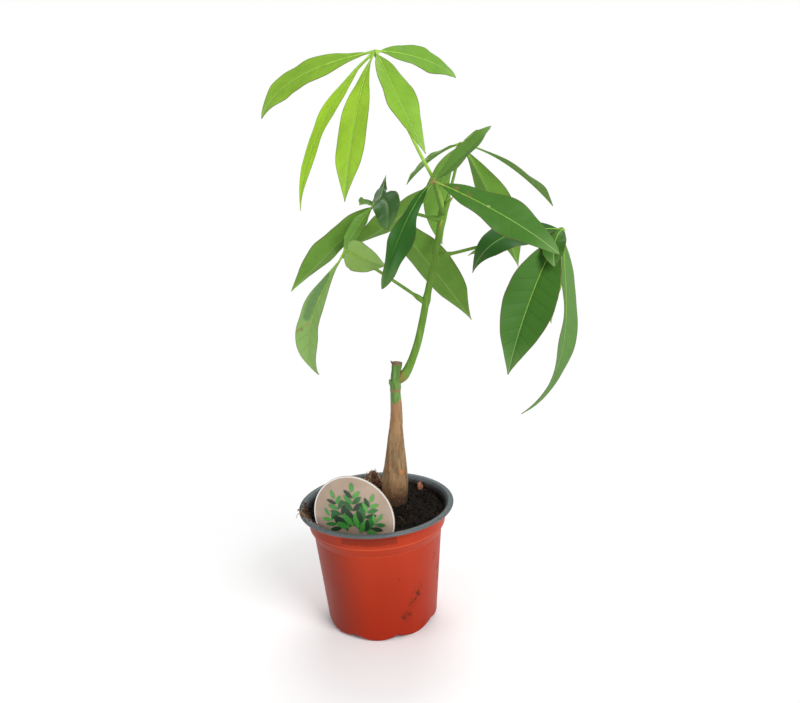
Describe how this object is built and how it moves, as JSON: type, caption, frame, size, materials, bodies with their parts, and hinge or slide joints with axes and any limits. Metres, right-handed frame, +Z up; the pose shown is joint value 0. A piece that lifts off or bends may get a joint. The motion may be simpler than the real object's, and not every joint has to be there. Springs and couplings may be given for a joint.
{
  "type": "potted money tree",
  "caption": "Young money tree with a swollen trunk, a green shoot and hand-shaped drooping leaves, in a terracotta-coloured plastic nursery pot with soil and a plant label.",
  "frame": {"origin": "middle of the flat foot on the pot's underside", "axes": "+Z up along the pot's axis, -Y towards the front with the plant label, +X right"},
  "size_m": [0.2165, 0.192, 0.4246],
  "materials": {
    "pot_plastic": "satin pressed plastic, terracotta outside, dark grey inside and on the lip",
    "potting_soil": "dark crumbly potting compost",
    "bark": "matt brown bark, green towards the cut top",
    "green_stem": "smooth green stem",
    "label_card": "printed card",
    "young_leaf": "thin soft satin leaf",
    "mature_leaf": "satin leaf with a paler underside"
  },
  "bodies": {
    "root": {"pot": "pot_plastic", "soil": "potting_soil", "trunk": "bark", "shoot": "green_stem", "plant_label": "label_card", "leaf_top": "young_leaf", "leaf_front": "mature_leaf", "leaf_back": "mature_leaf", "leaf_right": "mature_leaf", "leaf_upper_left": "mature_leaf", "leaf_lower_left": "mature_leaf"}
  },
  "joints": []
}
